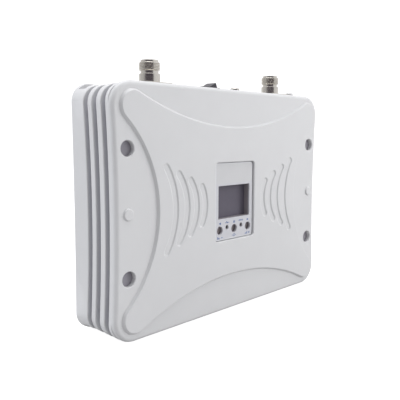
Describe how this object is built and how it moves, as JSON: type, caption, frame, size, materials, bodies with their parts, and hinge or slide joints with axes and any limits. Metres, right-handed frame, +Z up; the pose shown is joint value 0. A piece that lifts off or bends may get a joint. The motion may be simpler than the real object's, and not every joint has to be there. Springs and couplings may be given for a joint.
{
  "type": "cellular signal booster",
  "caption": "Wall-mounted cellular signal booster: finned metal case, small display with push keys, coaxial antenna ports, rocker power switch and power jack.",
  "frame": {"origin": "under the middle of the case, on the level its lower face stands on", "axes": "+X across the front face to a viewer's right, -Y out of the front face, +Z up through the connectors"},
  "size_m": [0.248, 0.052, 0.2041],
  "materials": {
    "case_paint": "satin powder coat",
    "gasket_rubber": "matte",
    "screw_steel": "zinc plated",
    "plug_grey": "matte moulded",
    "overlay_film": "matte printed film",
    "bezel_black": "moulded",
    "lcd_glass": "unlit display",
    "white_plastic": "moulded",
    "plain_steel": "tinned",
    "board_green": "solder resist",
    "switch_black": "moulded",
    "lamp_green": "unlit tinted resin",
    "lamp_red": "unlit tinted resin",
    "ribbon_grey": "flat cable",
    "header_cream": "moulded",
    "chip_black": "moulded",
    "bare_aluminium": "milled",
    "brass_plain": "turned",
    "capacitor_sleeve": "shrink sleeve",
    "thermal_rubber": "soft pad",
    "nickel_plate": "nickel plated",
    "ptfe_white": "turned",
    "gold_contact": "gold plated",
    "copper_tube": "drawn copper",
    "wire_red": "insulation",
    "rocker_black": "satin moulded",
    "label_silver": "printed film",
    "key_dark": "moulded"
  },
  "bodies": {
    "case": {"front_cover": "case_paint", "rear_housing": "case_paint", "case_gasket": "gasket_rubber", "case_screws": "screw_steel", "screw_plugs": "plug_grey", "display_overlay": "overlay_film", "display_bezel": "bezel_black", "lcd_cell": "lcd_glass", "lcd_backlight": "white_plastic", "lcd_frame": "plain_steel", "display_board": "board_green", "display_screws": "screw_steel", "key_switches": "switch_black", "run_lamp": "lamp_green", "alarm_lamp": "lamp_red", "ribbon_cable": "ribbon_grey", "ribbon_headers": "header_cream", "main_board": "board_green", "main_board_screws": "screw_steel", "shield_can_uplink": "plain_steel", "shield_can_downlink": "plain_steel", "shield_lids": "plain_steel", "amplifier_chips": "chip_black", "duplexer_outdoor": "bare_aluminium", "duplexer_indoor": "bare_aluminium", "tuning_screws": "brass_plain", "power_inductor": "chip_black", "power_capacitors": "capacitor_sleeve", "power_headers": "header_cream", "heat_spreader": "bare_aluminium", "thermal_pad": "thermal_rubber", "coax_body_left": "nickel_plate", "coax_insulator_left": "ptfe_white", "coax_contact_left": "gold_contact", "coax_body_right": "nickel_plate", "coax_insulator_right": "ptfe_white", "coax_contact_right": "gold_contact", "flange_screws": "screw_steel", "coax_jumpers": "copper_tube", "coax_clamps": "brass_plain", "jack_nose": "nickel_plate", "jack_nut": "nickel_plate", "jack_body": "switch_black", "jack_pin": "nickel_plate", "jack_lugs": "brass_plain", "jack_leads": "wire_red", "switch_body": "switch_black", "switch_blades": "brass_plain", "switch_leads": "wire_red", "ground_screw": "screw_steel", "rating_label": "label_silver"},
    "key_left": {"key_cap_left": "key_dark", "key_stem_left": "white_plastic"},
    "key_middle": {"key_cap_middle": "key_dark", "key_stem_middle": "white_plastic"},
    "key_right": {"key_cap_right": "key_dark", "key_stem_right": "white_plastic"},
    "rocker": {"switch_rocker": "rocker_black"}
  },
  "joints": [
    {"name": "key_left_press", "type": "slide", "parent": "case", "child": "key_left", "axis": [0, 1, 0], "range_m": [0, 0.00035], "stiffness_N_per_m": 4500, "springref_m": -0.0001},
    {"name": "key_middle_press", "type": "slide", "parent": "case", "child": "key_middle", "axis": [0, 1, 0], "range_m": [0, 0.00035], "stiffness_N_per_m": 4500, "springref_m": -0.0001},
    {"name": "key_right_press", "type": "slide", "parent": "case", "child": "key_right", "axis": [0, 1, 0], "range_m": [0, 0.00035], "stiffness_N_per_m": 4500, "springref_m": -0.0001},
    {"name": "rocker_tilt", "type": "hinge", "parent": "case", "child": "rocker", "pos_m": [-0.0135, -0.0031, 0.187], "axis": [0, 1, 0], "range_deg": [0, 28]}
  ]
}
